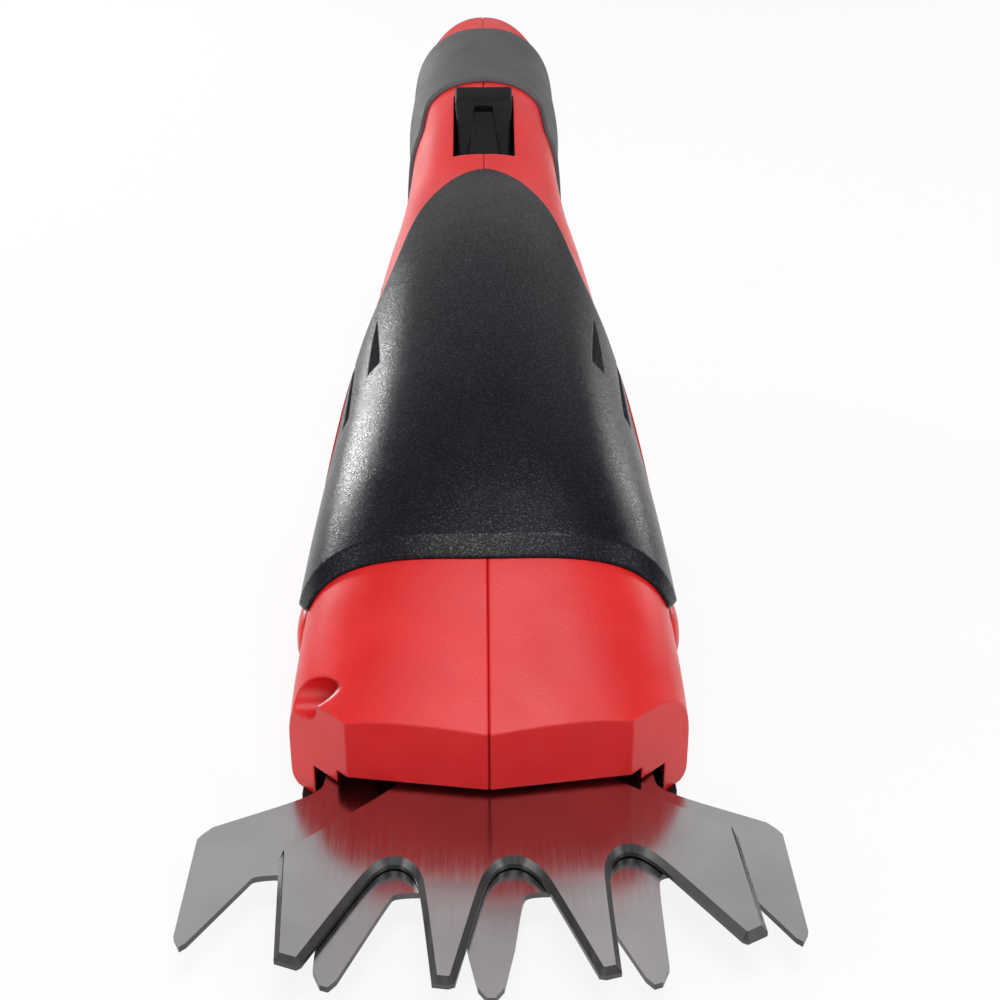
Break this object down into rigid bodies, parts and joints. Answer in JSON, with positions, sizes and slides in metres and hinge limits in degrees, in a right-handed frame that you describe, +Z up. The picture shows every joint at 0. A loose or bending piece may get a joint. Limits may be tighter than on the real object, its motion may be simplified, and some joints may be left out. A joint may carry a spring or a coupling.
{
  "type": "cordless grass shears",
  "caption": "Handheld cordless grass shears: red two-part housing with black cover, soft grip, lock slider and trigger; a geared motor swings a toothed blade over a fixed blade.",
  "frame": {"origin": "middle of the bounding box at the level of the sole's underside", "axes": "-Y points where the blades point, +X is the user's left hand side, +Z is up"},
  "size_m": [0.1086, 0.354, 0.1015],
  "materials": {
    "red_plastic": "satin moulded",
    "cover_plastic": "pebble texture",
    "black_plastic": "fine moulded",
    "grip_rubber": "soft matte",
    "blade_steel": "ground and brushed",
    "bright_steel": "bright",
    "gear_plastic": "moulded",
    "plate_steel": "stamped",
    "bronze": "sintered",
    "brass": "turned",
    "motor_iron": "plain",
    "cell_wrap": "shrink wrap",
    "board": "solder mask"
  },
  "bodies": {
    "body": {"housing_left": "red_plastic", "housing_right": "red_plastic", "top_cover": "cover_plastic", "sole_plate": "black_plastic", "grip_left": "grip_rubber", "grip_right": "grip_rubber", "housing_screws": "bright_steel", "sole_screws": "bright_steel", "fixed_blade": "blade_steel", "blade_carrier": "black_plastic", "blade_rivets": "bright_steel", "pivot_bolt": "bright_steel", "pivot_nut": "bright_steel", "gear_base": "plate_steel", "gear_plate": "plate_steel", "gear_pillars": "plate_steel", "gearbox_screws": "bright_steel", "crank_bush": "bronze", "idler_pin": "bright_steel", "motor_can": "plate_steel", "motor_cap": "black_plastic", "motor_magnets": "motor_iron", "motor_screws": "bright_steel", "lock_tray": "black_plastic", "lock_spring": "bright_steel", "trigger_pin": "bright_steel", "trigger_spring": "bright_steel", "micro_switch": "black_plastic", "button_spring_left": "bright_steel", "button_spring_right": "bright_steel", "battery_cell": "cell_wrap", "battery_cradle": "black_plastic", "battery_tabs": "brass", "control_board": "board", "charging_jack": "black_plastic"},
    "blade": {"moving_blade": "blade_steel"},
    "crank": {"crank_gear": "gear_plastic", "crank_pin": "bright_steel", "crank_shaft": "bright_steel"},
    "idler": {"idler_gear": "gear_plastic"},
    "rotor": {"motor_rotor": "motor_iron", "motor_pinion": "brass"},
    "lock": {"lock_slider": "black_plastic"},
    "trigger": {"trigger": "black_plastic"},
    "button_left": {"release_button_left": "red_plastic"},
    "button_right": {"release_button_right": "red_plastic"}
  },
  "joints": [
    {"name": "blade_swing", "type": "hinge", "parent": "body", "child": "blade", "pos_m": [0, -0.087, 0.0092], "axis": [0, 0, 1], "range_deg": [-12.4, 4.6]},
    {"name": "motor_spin", "type": "hinge", "parent": "body", "child": "rotor", "pos_m": [0, -0.011, 0.04], "axis": [0, 0, 1], "continuous": true},
    {"name": "idler_spin", "type": "hinge", "parent": "body", "child": "idler", "pos_m": [0, -0.034, 0.018], "axis": [0, 0, 1], "continuous": true},
    {"name": "crank_spin", "type": "hinge", "parent": "body", "child": "crank", "pos_m": [0, -0.059, 0.018], "axis": [0, 0, 1], "continuous": true},
    {"name": "lock_slide", "type": "slide", "parent": "body", "child": "lock", "axis": [0, -0.9602, -0.2795], "range_m": [0, 0.005], "stiffness_N_per_m": 300, "springref_m": -0.003, "deforming": ["lock_spring"]},
    {"name": "trigger_squeeze", "type": "hinge", "parent": "body", "child": "trigger", "pos_m": [0, 0.06307, 0.04943], "axis": [1, 0, 0], "range_deg": [0, 8], "stiffness_Nm_per_rad": 0.4, "springref_deg": -8.59, "deforming": ["trigger_spring"]},
    {"name": "release_left", "type": "slide", "parent": "body", "child": "button_left", "axis": [-1, 0, 0], "range_m": [0, 0.002], "stiffness_N_per_m": 600, "springref_m": -0.002, "deforming": ["button_spring_left"]},
    {"name": "release_right", "type": "slide", "parent": "body", "child": "button_right", "axis": [1, 0, 0], "range_m": [0, 0.002], "stiffness_N_per_m": 600, "springref_m": -0.002, "deforming": ["button_spring_right"]}
  ],
  "couplings": [
    {"joint": "idler_spin", "follows": "motor_spin", "ratio": -0.35294},
    {"joint": "crank_spin", "follows": "motor_spin", "ratio": 0.11145}
  ]
}
